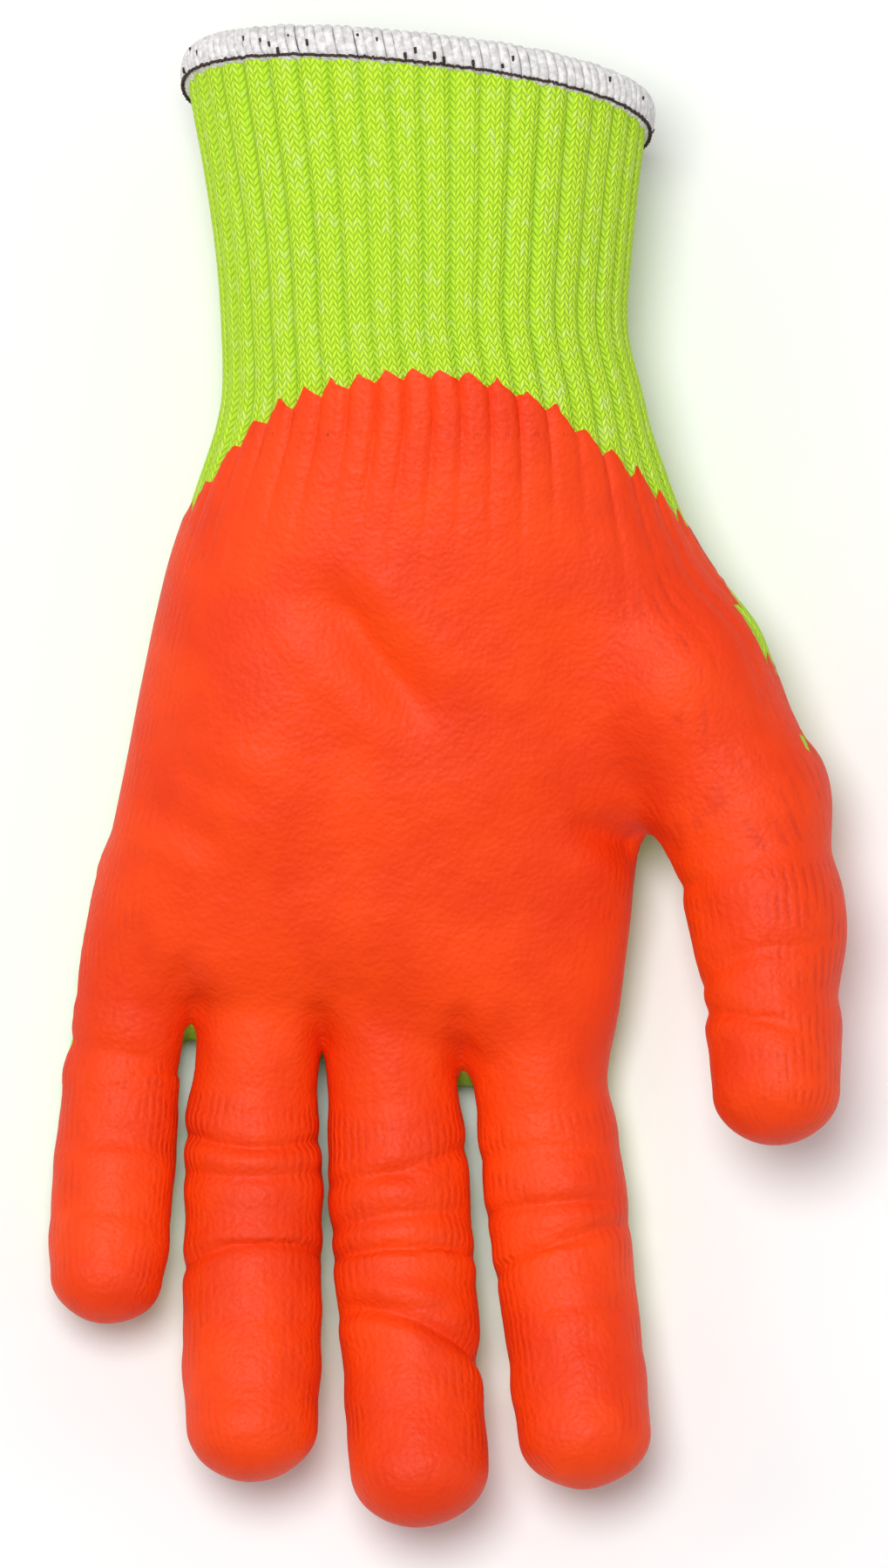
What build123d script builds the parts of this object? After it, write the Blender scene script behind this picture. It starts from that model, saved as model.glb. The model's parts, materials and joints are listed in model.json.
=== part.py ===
from build123d import *

import os
from math import cos, radians, sin, tan

# A coated knit work glove for the left hand, size 9, lying on its back with the palm up.
# +X is the thumb side, -Y runs down the fingers, +Y is the cuff and +Z is the palm side.
# The origin is on the floor, under the middle of the glove.

# ---- fabric walls, mm ----
liner_wall = 0.9
coating_wall = 0.7
cuff_wall = 1.8
skin = liner_wall + coating_wall

# ---- play at the knuckles ----
ball_gap = 0.35        # between a knuckle ball and the stall it turns in
rim_gap = 0.4          # from a hinge pin to each of the two rims that meet there
rim_play = 1.0         # degrees cut away past each limit of a hinge
ball_reach = 0.62      # how far a ball goes into the stall before it, over its radius
collar_land = 1.2      # length of collar past the deepest point of a rim
cut_run = 2.5          # how far cutting forms run past what they cut

# ---- wrist and cuff ----
wrist_y = 79.6
wrist_x = -4.4
wrist_z = 27.6
wrist_half_width = 35.3
wrist_half_depth = 26.0
wrist_straight = 13.0  # straight stretch of the hand that the cuff's ball turns in
wrist_gap = 0.5
wrist_limit = 30
cuff_swell = [(15.0, 36.4, 27.0, 0.6), (23.5, 37.8, 28.0, 1.1)]
hem_y = 116.9
hem_x = -4.6
hem_z = 30.7
hem_half_width = 40.2
hem_half_depth = 29.3
hem_drop = 5.7         # degrees, the mouth is lower on the thumb side
hem_lean = 13.0        # degrees, and higher on the palm side

# ---- hem binding and its needle thread ----
binding_height = 5.2
binding_proud = 0.9
binding_cover = 1.0    # thread over the raw edge of the cuff
binding_round = 0.8
needle_thread = 0.6
elastic_yarn = 0.6
elastic_depth = 0.5
elastic_rows = 5
elastic_pitch = 3.6
elastic_start = 12.5

# ---- palm, as ovals down the hand: y, x, z of the middle, half width, half depth ----
palm_ovals = [
    (49.6, -3.4, 25.9, 41.6, 24.6),
    (34.6, -4.6, 24.4, 45.0, 23.2),
    (19.6, -7.5, 22.6, 45.6, 21.8),
    (-0.4, -10.5, 20.4, 46.3, 20.0),
    (-24.4, -14.8, 17.2, 46.7, 17.0),
]
knuckle_line = (-35.2, -16.3, 15.75, 46.9, 15.5)
web_line = (-46.0, -17.8, 14.2, 46.8, 14.0)
web_bearing = -8
ball_of_thumb = [
    (26.0, 42.0, 27.0, 12.0, 40),
    (39.6, 18.0, 26.5, 16.4, 28),
    (48.0, -1.5, 27.0, 14.6, 16),
]
thumb_root_joint = 8.4  # where the ball of the thumb meets the thumb's root, above its hinge

# ---- dipped edge of the coating ----
dip_back = (-61.0, 11.8)
dip_front = (70.0, 26.5)
dip_left = (-46.5, 46.0)
dip_top = (-5.0, 72.0)
dip_right = (57.0, 20.0)
tip_dip = 12.0         # length at each finger end that is coated all round

# ---- digits ----
# base: hinge of the first piece. bearing and pitch: where the root points. roll: how far the
# digit's own palm side is turned to the little finger. rest: bend of each piece in the
# glove's own shape. half: half width and half depth of the root and of each piece.
finger_pieces = ["proximal", "middle", "distal"]
digits = {
    "pinky": dict(
        base=(-56.7, -49.9, 10.6), bearing=-4, pitch=-6, roll=0, rest=(12, 8, 8),
        length=(15.5, 14.5, 15.0), pieces=finger_pieces, root=26,
        half=[(10.4, 10.2), (10.4, 10.1), (10.2, 9.9), (9.9, 9.6)],
        limits=[(-10, 50), (-5, 65), (-5, 40)],
    ),
    "ring": dict(
        base=(-33.8, -57.9, 11.8), bearing=0, pitch=-6, roll=0, rest=(12, 8, 8),
        length=(22.5, 21.5, 20.5), pieces=finger_pieces, root=28,
        half=[(11.8, 11.4), (11.8, 11.3), (11.6, 11.1), (11.3, 10.8)],
        limits=[(-10, 55), (-5, 75), (-5, 45)],
    ),
    "middle": dict(
        base=(-9.0, -59.9, 11.9), bearing=4, pitch=-6, roll=0, rest=(12, 8, 8),
        length=(23.5, 23.5, 24.0), pieces=finger_pieces, root=28,
        half=[(12.2, 11.6), (12.2, 11.5), (12.0, 11.3), (11.7, 11.0)],
        limits=[(-10, 55), (-5, 75), (-5, 45)],
    ),
    "index": dict(
        base=(17.6, -60.4, 11.8), bearing=7, pitch=-6, roll=0, rest=(12, 8, 8),
        length=(22.0, 22.0, 20.5), pieces=finger_pieces, root=28,
        half=[(12.2, 11.6), (12.2, 11.5), (12.0, 11.3), (11.7, 11.0)],
        limits=[(-10, 55), (-5, 75), (-5, 45)],
    ),
    "thumb": dict(
        base=(52.4, -19.4, 28.5), bearing=7, pitch=7, roll=45, rest=(3, 6),
        length=(22.0, 22.5), pieces=["base", "tip"], root=14,
        half=[(13.0, 12.6), (12.9, 12.5), (12.6, 12.2)],
        limits=[(-10, 35), (-10, 50)],
    ),
}


def frame_along(origin, bearing, pitch, roll=0):
    """Frame with x along the hinge pin, y to the palm side and z down the digit."""
    turn = radians(bearing)
    lift = radians(pitch)
    down = Vector(sin(turn) * cos(lift), -cos(turn) * cos(lift), sin(lift))
    pin = Vector(cos(turn), sin(turn), 0)
    palm = down.cross(pin)
    rolled_pin = pin * cos(radians(roll)) + palm * sin(radians(roll))
    return Plane(origin=origin, x_dir=rolled_pin, z_dir=down)


def bent(frame, angle):
    """The frame turned about its pin, towards the palm side."""
    down = frame.z_dir * cos(radians(angle)) + frame.y_dir * sin(radians(angle))
    return Plane(origin=frame.origin, x_dir=frame.x_dir, z_dir=down)


def hinge_frames(digit):
    """The root's frame at the first hinge, then one frame for each piece at its own hinge."""
    root = frame_along(digit["base"], digit["bearing"], digit["pitch"], digit["roll"])
    frames = [root]
    for angle, length in zip(digit["rest"], digit["length"]):
        frame = bent(frames[-1], angle)
        frames.append(frame)
        frames.append(frame.offset(length))
    return frames[:1] + frames[1::2]


def rim_angles(rest, limits):
    """Slopes of the two rims at a hinge: on the palm side and on the back."""
    low, high = limits
    return (rest + high) / 2 + rim_play, max(0, (-low - rest) / 2) + rim_play


def shrunk(half, by):
    return half[0] - by, half[1] - by


def bar(frame, half, start, end, round_start=False, round_end=False):
    """Solid oval bar along the frame. A round start turns about the pin, as a knuckle does; a
    round end turns about the palm direction and adds half a width."""
    pin_start = frame.offset(start)
    pin_end = frame.offset(end)
    with BuildPart() as solid:
        with BuildSketch(pin_start):
            Ellipse(half[0], half[1])
        extrude(amount=end - start)
        if round_start:
            with BuildSketch(pin_start):
                Ellipse(half[0], half[1])
                Rectangle(3 * half[0], 2 * half[1], align=(Align.CENTER, Align.MIN), mode=Mode.SUBTRACT)
            revolve(axis=Axis(pin_start.origin, frame.x_dir), revolution_arc=180)
        if round_end:
            with BuildSketch(pin_end):
                Ellipse(half[0], half[1])
                Rectangle(2 * half[0], 3 * half[1], align=(Align.MAX, Align.CENTER), mode=Mode.SUBTRACT)
            revolve(axis=Axis(pin_end.origin, frame.y_dir), revolution_arc=-180)
    return solid.part


def past_rim(frame, half, angles, side):
    """Cutting form for all that lies past a rim: side 1 is down the digit and -1 is up it."""
    palm, back = angles
    across = 2 * half[1]
    run = cut_run if side > 0 else ball_reach * half[1] + half[1]
    section = Plane(origin=frame.origin, x_dir=frame.y_dir, z_dir=frame.x_dir)
    with BuildPart() as cutter:
        with BuildSketch(section):
            with BuildLine():
                Polyline(
                    (0, -side * rim_gap),
                    (across, -side * (rim_gap + across * tan(radians(palm)))),
                    (across, side * run),
                    (-across, side * run),
                    (-across, -side * (rim_gap + across * tan(radians(back)))),
                    close=True,
                )
            make_face()
        extrude(amount=half[0] + ball_gap / 2, both=True)
    return cutter.part


# ---- frames of the wrist and of the cuff's mouth ----
wrist = Plane(origin=(wrist_x, wrist_y, wrist_z), x_dir=(-1, 0, 0), z_dir=(0, 1, 0))
hem = Plane(
    origin=(hem_x, hem_y, hem_z),
    x_dir=(-cos(radians(hem_drop)), sin(radians(hem_drop)), 0),
    z_dir=(tan(radians(hem_drop)), 1, -tan(radians(hem_lean))),
)
wrist_angles = rim_angles(0, (-wrist_limit, wrist_limit))
wrist_half = (wrist_half_width, wrist_half_depth)


def hand_form(shrink, overrun=0.0):
    """Solid form of the hand from the wrist to the finger roots, shrunk by the given wall."""
    roots = []
    for digit in digits.values():
        frame = hinge_frames(digit)[0]
        half = shrunk(digit["half"][0], shrink)
        roots.append(bar(frame, half, -digit["root"], overrun, round_start=True))
    thumb_root = hinge_frames(digits["thumb"])[0].offset(-thumb_root_joint)
    with BuildPart() as mound:
        for x, y, z, radius, bearing in ball_of_thumb:
            with BuildSketch(frame_along((x, y, z), bearing, 0)):
                Circle(radius - shrink)
        with BuildSketch(thumb_root):
            Circle(digits["thumb"]["half"][0][1] - shrink)
        loft()
    with BuildPart() as form:
        for down in (-overrun, wrist_straight / 2, wrist_straight):
            with BuildSketch(wrist.offset(-down)):
                Ellipse(wrist_half_width - shrink, wrist_half_depth - shrink)
        for y, x, z, half_width, half_depth in palm_ovals:
            with BuildSketch(frame_along((x, y, z), 0, 0)):
                Ellipse(half_width - shrink, half_depth - shrink)
        y, x, z, half_width, half_depth = knuckle_line
        with BuildSketch(frame_along((x, y, z), web_bearing / 2, 0)):
            Ellipse(half_width - shrink, half_depth - shrink)
        y, x, z, half_width, half_depth = web_line
        with BuildSketch(frame_along((x, y + shrink, z), web_bearing, 0)):
            Ellipse(half_width - shrink, half_depth - shrink)
        loft()
        add(mound.part)
        for root in roots:
            add(root)
    return form.part


def cuff_form(shrink, overrun=0.0):
    """Solid form of the cuff from the wrist to the hem line, shrunk by the given wall."""
    with BuildPart() as form:
        with BuildSketch(wrist):
            Ellipse(wrist_half_width - shrink, wrist_half_depth - shrink)
        for up, half_width, half_depth, rise in cuff_swell:
            with BuildSketch(Plane(wrist.origin + (0, up, rise), wrist.x_dir, wrist.z_dir)):
                Ellipse(half_width - shrink, half_depth - shrink)
        with BuildSketch(hem):
            Ellipse(hem_half_width - shrink, hem_half_depth - shrink)
        loft()
        with BuildSketch(hem):
            Ellipse(hem_half_width - shrink, hem_half_depth - shrink)
        extrude(amount=binding_height - binding_cover + overrun)
    return form.part


os.makedirs("parts", exist_ok=True)

# ---- dip form: all that the coating may cover on the hand ----
with BuildPart() as dipped:
    with BuildSketch(Plane.YZ.offset(-100)):
        with BuildLine():
            slope = (dip_front[1] - dip_back[1]) / (dip_front[0] - dip_back[0])
            Polyline(
                (-200, dip_back[1] + slope * (-200 - dip_back[0])),
                (200, dip_back[1] + slope * (200 - dip_back[0])),
                (200, 200),
                (-200, 200),
                close=True,
            )
        make_face()
    extrude(amount=200)
    with BuildSketch(Plane.XY):
        with BuildLine():
            ThreePointArc(dip_left, dip_top, dip_right)
            Polyline(dip_right, (100, -40), (100, -150), (-100, -150), (-100, 0), dip_left)
        make_face()
    extrude(amount=200, mode=Mode.INTERSECT)

# ---- hand: liner and coating ----
root_cuts = [
    past_rim(hinge_frames(digit)[0], digit["half"][0], rim_angles(digit["rest"][0], digit["limits"][0]), 1)
    for digit in digits.values()
]
wrist_cut = past_rim(wrist, wrist_half, wrist_angles, 1)
outer_form = hand_form(0)
liner_form = hand_form(coating_wall)
liner_form_run_on = hand_form(coating_wall, cut_run)
hand_cavity = hand_form(skin, cut_run)

with BuildPart() as hand_liner:
    add(liner_form)
    for cut in [hand_cavity, wrist_cut] + root_cuts:
        add(cut, mode=Mode.SUBTRACT)
hand_liner.part.label = "hand_liner"
export_step(hand_liner.part, "parts/hand_liner.step")

with BuildPart() as hand_coating:
    add(outer_form)
    add(liner_form_run_on, mode=Mode.SUBTRACT)
    add(dipped.part, mode=Mode.INTERSECT)
    for cut in root_cuts:
        add(cut, mode=Mode.SUBTRACT)
hand_coating.part.label = "hand_coating"
export_step(hand_coating.part, "parts/hand_coating.step")

# ---- cuff: ribbed tube, elastic, binding and needle thread ----
neck_half = shrunk(wrist_half, skin + wrist_gap)
neck_hollow_half = shrunk(neck_half, liner_wall)
collar = rim_gap + wrist_half_depth * tan(radians(wrist_angles[0])) + collar_land
selvedge = binding_height - binding_cover

cuff_outer = cuff_form(0)
cuff_inner = cuff_form(cuff_wall, cut_run)
cuff_collar_space = bar(wrist, wrist_half, -cut_run, collar)
cuff_rim_cut = past_rim(wrist, wrist_half, wrist_angles, -1)
cuff_knuckle = bar(wrist, neck_half, 0, collar, round_start=True)
cuff_knuckle_hollow = bar(wrist, neck_hollow_half, 0, collar + cut_run, round_start=True)
cuff_ball_opening = bar(wrist, wrist_half, -wrist_half_depth - cut_run, -ball_reach * neck_half[1])
elastic_outer = cuff_form(elastic_depth)
elastic_inner = cuff_form(elastic_depth + elastic_yarn, cut_run)

with BuildPart() as cuff_elastic:
    for row in range(elastic_rows):
        with BuildSketch(wrist.offset(elastic_start + row * elastic_pitch)):
            Ellipse(2 * wrist_half_width, 2 * wrist_half_depth)
        extrude(amount=elastic_yarn)
    add(elastic_outer, mode=Mode.INTERSECT)
    add(elastic_inner, mode=Mode.SUBTRACT)
cuff_elastic.part.label = "cuff_elastic"
export_step(cuff_elastic.part, "parts/cuff_elastic.step")

with BuildPart() as cuff_cavity:
    add(cuff_inner)
    add(cuff_collar_space, mode=Mode.SUBTRACT)

with BuildPart() as cuff_rib:
    add(cuff_outer)
    add(cuff_rim_cut, mode=Mode.SUBTRACT)
    add(cuff_knuckle)
    for hollow in (cuff_knuckle_hollow, cuff_ball_opening, cuff_cavity.part, cuff_elastic.part):
        add(hollow, mode=Mode.SUBTRACT)
cuff_rib.part.label = "cuff_rib"
export_step(cuff_rib.part, "parts/cuff_rib.step")

with BuildPart() as hem_needle_thread:
    with BuildSketch(hem):
        Ellipse(hem_half_width + binding_proud, hem_half_depth + binding_proud)
        Ellipse(
            hem_half_width + binding_proud - needle_thread,
            hem_half_depth + binding_proud - needle_thread,
            mode=Mode.SUBTRACT,
        )
    extrude(amount=needle_thread)
hem_needle_thread.part.label = "hem_needle_thread"
export_step(hem_needle_thread.part, "parts/hem_needle_thread.step")

with BuildPart() as hem_binding:
    with BuildSketch(hem):
        Ellipse(hem_half_width + binding_proud, hem_half_depth + binding_proud)
        Ellipse(
            hem_half_width - cuff_wall - binding_proud,
            hem_half_depth - cuff_wall - binding_proud,
            mode=Mode.SUBTRACT,
        )
    extrude(amount=binding_height)
    top_face = hem_binding.faces().sort_by(Axis(hem.origin, hem.z_dir))[-1]
    fillet(top_face.edges(), radius=binding_round)
    with BuildSketch(hem):
        Ellipse(hem_half_width, hem_half_depth)
        Ellipse(hem_half_width - cuff_wall, hem_half_depth - cuff_wall, mode=Mode.SUBTRACT)
    extrude(amount=selvedge, mode=Mode.SUBTRACT)
    add(hem_needle_thread.part, mode=Mode.SUBTRACT)
hem_binding.part.label = "hem_binding"
export_step(hem_binding.part, "parts/hem_binding.step")


# ---- digits: one liner and one coating for each piece between two knuckles ----
def undipped(frame, half, length, tip):
    """Cutting form for the back of a piece, which the coating leaves bare short of the tip."""
    flat = Vector(frame.z_dir.Y, -frame.z_dir.X, 0) * -1
    reach = half[0] + half[1]
    with BuildPart() as back:
        with BuildSketch(Plane(frame.origin, flat, frame.z_dir)):
            Rectangle(2 * reach, reach, align=(Align.CENTER, Align.MAX))
        extrude(amount=length - tip_dip if tip else length + reach)
    return back.part


for digit_name, digit in digits.items():
    frames = hinge_frames(digit)
    for order, piece_name in enumerate(digit["pieces"]):
        frame = frames[order + 1]
        length = digit["length"][order]
        half = digit["half"][order + 1]
        tip = order == len(digit["pieces"]) - 1
        liner_half = shrunk(half, coating_wall)
        cavity_half = shrunk(half, skin)
        ball_half = shrunk(digit["half"][order], skin + ball_gap)
        hollow_half = shrunk(ball_half, liner_wall)
        near_angles = rim_angles(digit["rest"][order], digit["limits"][order])
        near_collar = rim_gap + half[1] * tan(radians(near_angles[0])) + collar_land

        round_at = length - half[0] if tip else length
        run_on = 0 if tip else cut_run
        coating_bar = bar(frame, half, 0, round_at, round_end=tip)
        liner_bar = bar(frame, liner_half, 0, round_at, round_end=tip)
        core = bar(frame, liner_half, -cut_run, round_at + run_on, round_end=tip)
        knuckle = bar(frame, ball_half, 0, near_collar, round_start=True)
        knuckle_hollow = bar(frame, hollow_half, 0, near_collar + cut_run, round_start=True)
        ball_opening = bar(frame, half, -half[1] - cut_run, -ball_reach * ball_half[1])
        cavity = bar(frame, cavity_half, 0, round_at + run_on, round_end=tip)
        collar_space = bar(frame, half, -cut_run, near_collar)
        rims = [past_rim(frame, half, near_angles, -1)]
        if not tip:
            far_angles = rim_angles(digit["rest"][order + 1], digit["limits"][order + 1])
            rims.append(past_rim(frame.offset(length), half, far_angles, 1))
        bare_back = undipped(frame, half, length, tip)

        with BuildPart() as stall:
            add(cavity)
            add(collar_space, mode=Mode.SUBTRACT, clean=False)

        with BuildPart() as digit_liner:
            add(liner_bar)
            for rim in rims:
                add(rim, mode=Mode.SUBTRACT, clean=False)
            add(knuckle, clean=False)
            for hollow in (stall.part, knuckle_hollow, ball_opening):
                add(hollow, mode=Mode.SUBTRACT, clean=False)
        digit_liner.part.label = f"{digit_name}_{piece_name}_liner"
        export_step(digit_liner.part, f"parts/{digit_liner.part.label}.step")

        with BuildPart() as digit_coating:
            add(coating_bar)
            for cut in [core, bare_back] + rims:
                add(cut, mode=Mode.SUBTRACT, clean=False)
        digit_coating.part.label = f"{digit_name}_{piece_name}_coating"
        export_step(digit_coating.part, f"parts/{digit_coating.part.label}.step")
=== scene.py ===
import json
import math

import bpy
import numpy as np
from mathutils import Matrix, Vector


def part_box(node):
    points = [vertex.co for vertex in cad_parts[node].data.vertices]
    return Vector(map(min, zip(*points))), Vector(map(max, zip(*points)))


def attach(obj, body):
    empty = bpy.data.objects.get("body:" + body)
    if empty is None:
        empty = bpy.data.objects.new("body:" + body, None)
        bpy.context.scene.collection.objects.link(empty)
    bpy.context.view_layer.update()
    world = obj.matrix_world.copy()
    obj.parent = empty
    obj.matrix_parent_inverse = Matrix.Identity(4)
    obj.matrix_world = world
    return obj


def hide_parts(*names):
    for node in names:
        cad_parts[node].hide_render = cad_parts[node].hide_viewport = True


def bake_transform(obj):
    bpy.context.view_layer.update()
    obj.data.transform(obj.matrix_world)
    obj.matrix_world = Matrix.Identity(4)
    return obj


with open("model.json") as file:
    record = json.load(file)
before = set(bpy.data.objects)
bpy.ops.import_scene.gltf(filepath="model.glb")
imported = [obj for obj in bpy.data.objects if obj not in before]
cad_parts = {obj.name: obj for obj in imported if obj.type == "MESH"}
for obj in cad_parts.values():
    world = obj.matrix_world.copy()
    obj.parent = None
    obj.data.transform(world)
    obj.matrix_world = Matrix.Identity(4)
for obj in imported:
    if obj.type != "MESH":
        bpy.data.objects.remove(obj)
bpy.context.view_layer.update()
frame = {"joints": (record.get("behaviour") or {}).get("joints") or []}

MM = 0.001
CELL = 1.05 * MM          # first mesh of the skin, before it is split finer
WALES = 126                                   # lengthwise stitch columns round the hand
RIB_WALES = 3                                 # columns in one rib of the cuff
RIBS = WALES // RIB_WALES
COURSE = 1.25 * MM                            # height of one stitch
LIP = 0.55 * MM                               # how far the coating stands off the knit
joints = {j["name"]: j for j in frame["joints"]}

FINGERS = ("pinky", "ring", "middle", "index")
FINGER_PIECES = ("proximal", "middle", "distal")
THUMB_PIECES = ("base", "tip")


# ---------------------------------------------------------------- small vector helpers
def vec(*v):
    return np.array(v, float)


def unit(v):
    return v / np.linalg.norm(v)


def smooth(lo, hi, x):
    t = np.clip((x - lo) / (hi - lo), 0, 1)
    return t * t * (3 - 2 * t)


def bump(x, width):
    return np.exp(-(x / width) ** 2)


def smin(a, b, k):
    h = np.clip(0.5 + 0.5 * (b - a) / k, 0, 1)
    return b + (a - b) * h - k * h * (1 - h)


def smax(a, b, k):
    return -smin(-a, -b, k)


def hermite(table, count=240):
    """Dense smooth table through rows of (position, values...), sorted by position."""
    t = np.array(sorted(table), float)
    x, v = t[:, 0], t[:, 1:]
    slope = np.gradient(v, x, axis=0)
    xs = np.linspace(x[0], x[-1], count)
    i = np.clip(np.searchsorted(x, xs, side="right") - 1, 0, len(x) - 2)
    h = (x[i + 1] - x[i])[:, None]
    u = ((xs - x[i]) / (x[i + 1] - x[i]))[:, None]
    out = (
        (2 * u**3 - 3 * u**2 + 1) * v[i]
        + (u**3 - 2 * u**2 + u) * h * slope[i]
        + (-2 * u**3 + 3 * u**2) * v[i + 1]
        + (u**3 - u**2) * h * slope[i + 1]
    )
    return xs, out


# ---------------------------------------------------------------- the hand inside the glove
# Down each digit: distance from its first hinge, half width and half depth, in mm.
GIRTH = {
    "pinky": [
        (-34, 8.6, 8.6), (-20, 9.8, 9.6), (-8, 9.5, 9.4), (0, 9.4, 9.2), (8, 9.8, 9.3),
        (14, 9.7, 9.1), (22, 9.9, 9.1), (30, 9.6, 8.7), (38, 9.0, 8.0), (45, 8.6, 7.6),
    ],
    "ring": [
        (-26, 10.8, 10.6), (-6, 10.3, 10.4), (0, 10.6, 10.5), (10, 11.5, 10.8),
        (22, 11.1, 10.3), (33, 11.4, 10.4), (44, 11.1, 10.0), (54, 10.8, 9.3), (64, 10.2, 8.7),
    ],
    "middle": [
        (-26, 11.0, 10.8), (-6, 10.8, 10.7), (0, 11.0, 10.8), (10, 11.7, 10.9),
        (22, 11.3, 10.5), (34, 11.6, 10.6), (42, 11.0, 10.2), (56, 11.6, 9.9), (71, 10.6, 9.1),
    ],
    "index": [
        (-26, 11.2, 10.8), (-6, 11.0, 10.7), (0, 11.2, 10.7), (10, 11.7, 10.8),
        (21, 11.2, 10.3), (33, 11.3, 10.3), (44, 11.0, 9.9), (54, 11.0, 9.4), (64, 10.3, 8.8),
    ],
    "thumb": [
        (-16, 13.2, 12.6), (-4, 12.9, 12.3), (5, 12.8, 12.0), (13, 11.6, 11.2),
        (20, 10.6, 10.6), (28, 11.0, 10.4), (36, 10.9, 9.6), (44, 10.3, 8.8),
    ],
}
ROOT_RUN = {"pinky": 34, "ring": 26, "middle": 26, "index": 30, "thumb": 18}
# Sideways run of a root towards the wrist, per unit of length.
ROOT_LEAN = {"pinky": 0.08, "ring": 0.08, "middle": 0.0, "index": -0.04, "thumb": -0.16}


def digit_chain(name):
    """Points down a digit's middle, with its sideways direction."""
    words = THUMB_PIECES if name == "thumb" else FINGER_PIECES
    names = {"proximal": "base", "middle": "middle", "distal": "end", "base": "base", "tip": "end"}
    rows = [joints[f"{name}_{names[w]}_knuckle"] for w in words]
    spots = [vec(*r["pos_m"]) + (vec(2.3, 0, 0) * MM if name == "thumb" else 0) for r in rows]
    side = -unit(vec(*rows[0]["axis"]))
    low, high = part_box(f"{name}_{words[-1]}_liner")
    middle = (vec(*low) + vec(*high)) / 2
    last = middle - vec(*rows[-1]["pos_m"])
    last = unit(last - side * (last @ side))
    reach = {"thumb": 20.6, "pinky": 14.0, "ring": 19.7, "middle": 22.9, "index": 18.9}[name] * MM
    spots.append(spots[-1] + last * reach)
    first = unit(spots[1] - spots[0])
    down = -0.21 if name != "thumb" else -0.05
    root = unit(first + np.cross(first, side) * -down) if name == "thumb" else unit(first + vec(0, 0, down))
    root = unit(root + vec(-ROOT_LEAN[name], 0, 0))
    spots.insert(0, spots[0] - root * ROOT_RUN[name] * MM)
    return np.array(spots), side


CHAINS = {n: digit_chain(n) for n in FINGERS + ("thumb",)}


class Digit:
    """Signed distance, position along, and angle round one digit."""

    def __init__(self, name):
        self.name = name
        self.spots, self.side = CHAINS[name]
        self.girth_at, self.girth = hermite(GIRTH[name])
        self.girth_at, self.girth = self.girth_at * MM, self.girth * MM
        self.steps = np.diff(self.spots, axis=0)
        self.lengths = np.linalg.norm(self.steps, axis=1)
        self.starts = np.concatenate([[0], np.cumsum(self.lengths)]) - self.lengths[0]
        self.dirs = self.steps / self.lengths[:, None]
        self.end = self.starts[-1]
        self.tip_radius = self.girth[-1][0]

    def parts(self, p):
        """For each straight part: distance, station along the digit, and offsets sideways and palmward."""
        for k, (a, d, length) in enumerate(zip(self.spots, self.dirs, self.lengths)):
            side = unit(self.side - d * (d @ self.side))
            palm = np.cross(d, side)
            last = k == len(self.lengths) - 1
            cap = self.tip_radius * 0.82
            run = length - cap if last else length
            v = p - a
            s = v @ d
            station = self.starts[k] + np.clip(s, 0, length)
            ab = np.stack([np.interp(station, self.girth_at, self.girth[:, i]) for i in (0, 1)], -1)
            lat, pal = v @ side, v @ palm
            over = s - np.clip(s, 0, run)
            size = np.sqrt(lat**2 + pal**2 + over**2) + 1e-9
            end_half = cap if last else ab[:, 0]
            fit = np.sqrt((lat / ab[:, 0]) ** 2 + (pal / ab[:, 1]) ** 2 + (over / end_half) ** 2) + 1e-9
            yield size - size / fit, self.starts[k] + s, lat, pal, ab

    def distance(self, p):
        d = None
        for part in self.parts(p):
            d = part[0] if d is None else smin(d, part[0], 1.6 * MM)
        return d

    def frame_at(self, p):
        """Station along, and sideways and palmward offsets over the half sizes, from the nearest part."""
        best = None
        for d, s, lat, pal, ab in self.parts(p):
            row = np.stack([d, s, lat / ab[:, 0], pal / ab[:, 1]], 1)
            if best is None:
                best = row
            else:
                best = np.where((row[:, :1] < best[:, :1]), row, best)
        return best[:, 1], best[:, 2], best[:, 3]


DIGITS = {n: Digit(n) for n in FINGERS + ("thumb",)}

# Ovals down the hand and cuff, in mm: y, x and z of the middle, half width, half depth.
wrist = vec(*joints["wrist_hinge"]["pos_m"]) / MM
OVALS = [
    (150.0, -5.5, 32.0, 44.5, 32.5),
    (118.0, -4.6, 30.2, 39.6, 28.6),
    (103.0, -4.2, 29.0, 37.3, 27.6),
    (91.0, -4.0, 28.2, 35.9, 26.8),
    (wrist[1], -3.9, 27.4, 35.2, 26.2),
    (66.0, -2.4, 26.8, 36.8, 25.6),
    (50.0, -3.2, 25.7, 40.8, 24.6),
    (35.0, -5.0, 24.3, 43.6, 23.4),
    (20.0, -8.0, 22.6, 44.0, 21.8),
    (0.0, -11.0, 20.4, 45.0, 19.8),
    (-22.0, -14.6, 17.3, 46.0, 16.8),
    (-40.0, -17.4, 15.2, 46.6, 14.6),
    (-52.0, -18.6, 13.6, 46.8, 12.8),
]
OVAL_Y, OVAL_V = hermite([(r[0],) + r[1:] for r in OVALS])
OVAL_Y = OVAL_Y * MM
OVAL_V = OVAL_V * MM
ARC_FRACTIONS = np.linspace(0, 2 * np.pi, 721)


def arc_table(a, b):
    """Share of the way round an oval, for each angle of its parameter."""
    x, z = a * np.cos(ARC_FRACTIONS), b * np.sin(ARC_FRACTIONS)
    run = np.concatenate([[0], np.cumsum(np.hypot(np.diff(x), np.diff(z)))])
    return run / run[-1]


ROUND = arc_table(1.0, 0.74)


def palm_frame(p):
    """Offsets sideways and palmward from the middle of the hand, and the oval's half sizes."""
    cx, cz, a, b = (np.interp(p[:, 1], OVAL_Y, OVAL_V[:, i]) for i in range(4))
    return p[:, 0] - cx, p[:, 2] - cz, a, b


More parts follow.
